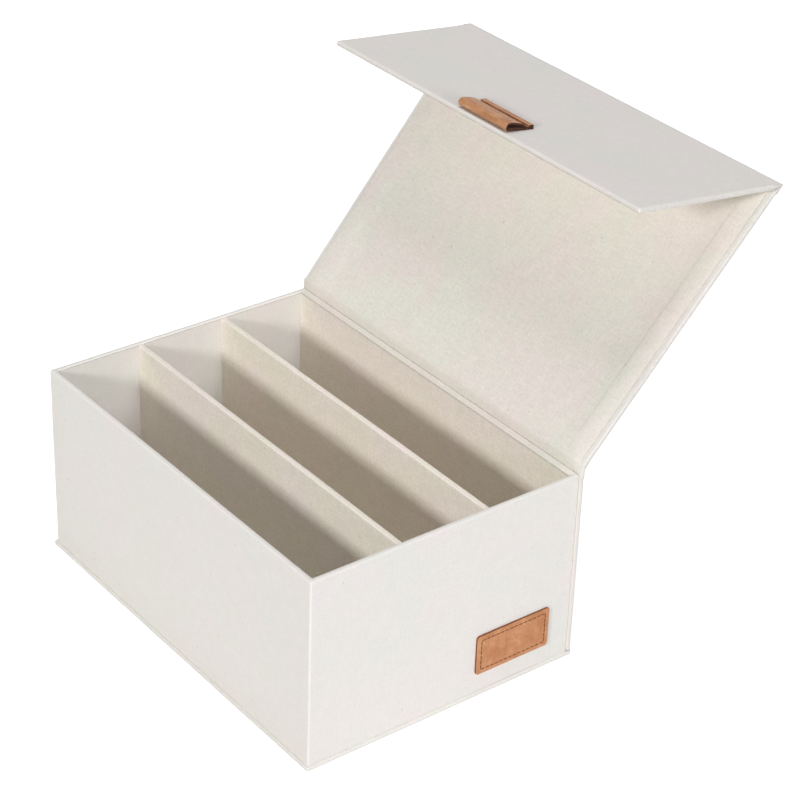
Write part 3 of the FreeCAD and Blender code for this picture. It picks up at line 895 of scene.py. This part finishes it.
def label_stitches():
    """Short burnt dashes, a little sunk, along a line inside the label's edge."""
    low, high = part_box("label_patch")
    inset = 3.0 * mm
    width, length, gap, depth = 0.6 * mm, 2.4 * mm, 0.7 * mm, 0.16 * mm
    filled = 0.78
    bm = bmesh.new()
    lines = (("y", low.z + inset), ("y", high.z - inset), ("z", low.y + inset), ("z", high.y - inset))
    for axis, at in lines:
        a, b = (low.y, high.y) if axis == "y" else (low.z, high.z)
        a, b = a + inset, b - inset
        count = round((b - a) / (length + gap))
        pitch = (b - a) / count
        for k in range(count):
            mid = a + pitch * (k + 0.5)
            dash = pitch * filled * (1 + 0.12 * noise.noise(Vector((mid * 900, at * 900, 0))))
            centre = (high.x, mid, at) if axis == "y" else (high.x, at, mid)
            spread = (depth, dash, width) if axis == "y" else (depth, width, dash)
            place = Matrix.Translation(centre) @ Matrix.Diagonal((*spread, 1))
            bmesh.ops.create_cube(bm, size=1, matrix=place)
    bmesh.ops.bevel(bm, geom=bm.edges[:], offset=0.06 * mm, affect="EDGES", segments=1, profile=0.5, material=-1)
    return make("label_stitches", bm, [STITCH])


# Assembly

lining_low = (0, TRAY_BACK, SPINE_TOP + CLOTH)
lining_high = LID_PLACE @ Vector((0, LID_ROOT, PANEL + CLOTH))
hinge_reach = Vector((0, 0, 1.2 * mm))

settle(tray_cover(), "outer_cloth", "box", "wall_cloth")
settle(rear_wall_cover(), "outer_cloth", "box")
settle(divider_cover("front_divider_cover", "front_divider_cloth", 2), "outer_cloth", "box", "front_divider_cloth")
settle(divider_cover("rear_divider_cover", "rear_divider_cloth", 3), "outer_cloth", "box", "rear_divider_cloth")
settle(floor_cover(), "lining_cloth", "box", "floor_lining")
settle(base_cover(), "outer_cloth", "box", "base_cloth")
settle(spine_cover(), "outer_cloth", ("box", "lid", LID_AXIS - hinge_reach, LID_AXIS + hinge_reach),
       "spine_cloth", "lid_hinge_cloth")
settle(lid_lining_cover(), "lining_cloth", ("box", "lid", lining_low, lining_high), "hinge_lining", "lid_lining")

along_lid = LID_PLACE.to_3x3() @ Vector((0, 1, 0))
along_flap = FLAP_PLACE.to_3x3() @ Vector((0, 1, 0))
fold_reach = 1.5 * mm
lid_cover = panel_cover("lid_cover", LID_ROOT, LID_END - CLOTH, lid_half, LID_LENGTH, True, 5)
settle(lid_cover, "outer_cloth", ("lid", "fold", FOLD_AXIS - along_lid * fold_reach, FOLD_AXIS), "lid_cloth")
flap_cover = panel_cover("flap_cover", FLAP_START + CLOTH, FLAP_LENGTH, flap_half, FLAP_LENGTH, False, 6)
settle(flap_cover, "outer_cloth", ("fold", "flap", FOLD_AXIS, FOLD_AXIS + along_flap * fold_reach),
       "flap_cloth", "flap_hinge_cloth")
settle(flap_lining_cover(), "lining_cloth", "flap", "flap_lining")
settle(fold_lining_cover("fold_lining_on_lid", True), "lining_cloth", "lid", "fold_lining")
settle(fold_lining_cover("fold_lining_on_flap", False), "lining_cloth", "flap")
crease_at = FLAP_PLACE @ Vector((0, PULL_CREASE, -2 * PULL_PLY))
settle(pull_loop(), "leather", ("flap", "pull", crease_at - along_flap * 0.3 * mm, crease_at + along_flap * 2 * mm),
       "pull_loop")
settle(pull_tail(), "leather", "flap", "pull_tail")
settle(label(), "leather", "box", "label_patch")
settle(label_stitches(), "leather", "box")

FINISHES = {"grey_board": BOARD, "steel": STEEL, "magnet": NICKEL}
slots = {s["node"]: s["material_slot"] for s in frame["record"]["subparts"]}
for node, piece in frame["nodes"].items():
    material = FINISHES.get(slots[node], OUTER)
    piece.data.materials.clear()
    piece.data.materials.append(material)


# Floor, light and camera

def white_to_camera(tree):
    """Gives 1 for what the camera sees, also in a reflection or through glass, and 0 for all other light."""
    path = tree.nodes.new("ShaderNodeLightPath")
    seen = path.outputs["Is Camera Ray"]
    for ray in ("Is Glossy Ray", "Is Transmission Ray"):
        either = tree.nodes.new("ShaderNodeMath")
        either.operation = "MAXIMUM"
        tree.links.new(seen, either.inputs[0])
        tree.links.new(path.outputs[ray], either.inputs[1])
        seen = either.outputs[0]
    return seen


def show_to_camera(tree, usual, shown, output):
    """Makes the output one shader for the lighting, and another for what the camera sees."""
    choice = tree.nodes.new("ShaderNodeMixShader")
    tree.links.new(white_to_camera(tree), choice.inputs[0])
    tree.links.new(usual.outputs[0], choice.inputs[1])
    tree.links.new(shown.outputs[0], choice.inputs[2])
    tree.links.new(choice.outputs[0], tree.nodes.new(output).inputs[0])


floor_bm = bmesh.new()
just_under = Matrix.Translation((0, 0, -0.05 * mm))
bmesh.ops.create_grid(floor_bm, x_segments=1, y_segments=1, size=8, matrix=just_under)
floor_mesh = bpy.data.meshes.new("floor")
floor_bm.to_mesh(floor_mesh)
floor_bm.free()
floor = bpy.data.objects.new("floor", floor_mesh)
bpy.context.scene.collection.objects.link(floor)
paper = bpy.data.materials.new("white_floor")
paper.use_nodes = True
nodes = paper.node_tree.nodes
nodes.clear()
diffuse = nodes.new("ShaderNodeBsdfDiffuse")
diffuse.inputs["Color"].default_value = (0.86, 0.86, 0.86, 1)
glow = nodes.new("ShaderNodeEmission")
glow.inputs["Strength"].default_value = 0.72
both = nodes.new("ShaderNodeAddShader")
paper.node_tree.links.new(diffuse.outputs[0], both.inputs[0])
paper.node_tree.links.new(glow.outputs[0], both.inputs[1])
show_to_camera(paper.node_tree, diffuse, both, "ShaderNodeOutputMaterial")
floor_mesh.materials.append(paper)

world = bpy.data.worlds.new("studio")
bpy.context.scene.world = world
world.use_nodes = True
nodes = world.node_tree.nodes
nodes.clear()
room = nodes.new("ShaderNodeBackground")
room.inputs["Strength"].default_value = 0.23
white = nodes.new("ShaderNodeBackground")
white.inputs["Strength"].default_value = 1.0
for shade in (room, white):
    shade.inputs["Color"].default_value = (1, 1, 1, 1)
show_to_camera(world.node_tree, room, white, "ShaderNodeOutputWorld")


def lamp(name, direction, size, watts, colour=(1, 1, 1)):
    """A square soft light that faces the box from afar."""
    distance, aim = 6.0, Vector((0, 0, 0.1))
    data = bpy.data.lights.new(name, "AREA")
    data.size = size
    data.energy = watts
    data.color = colour
    light = bpy.data.objects.new(name, data)
    way = Vector(direction).normalized()
    light.location = way * distance + aim
    light.rotation_euler = way.to_track_quat("Z", "Y").to_euler()
    bpy.context.scene.collection.objects.link(light)


lamp("front_light", (0.4, -1.0, 0.45), size=0.9, watts=166.0)
lamp("side_light", (1.0, -0.05, 0.25), size=1.15, watts=126.0, colour=(0.92, 0.935, 1.0))
lamp("top_light", (0.0, 0.1, 1.0), size=3.0, watts=147.0, colour=(0.95, 0.945, 1.0))

camera_data = bpy.data.cameras.new("camera")
camera_data.sensor_width = 36
camera_data.lens = 112.097
camera = bpy.data.objects.new("camera", camera_data)
eye = (0.94013, -0.67834, 0.82312)
right = (0.60440, 0.79605, 0.03159)
up = (-0.42414, 0.28795, 0.85860)
back = (0.67439, -0.53234, 0.51167)
camera.matrix_world = Matrix.Translation(eye) @ Matrix((right, up, back)).transposed().to_4x4()
bpy.context.scene.collection.objects.link(camera)
bpy.context.scene.camera = camera
bpy.context.scene.view_settings.view_transform = "Standard"
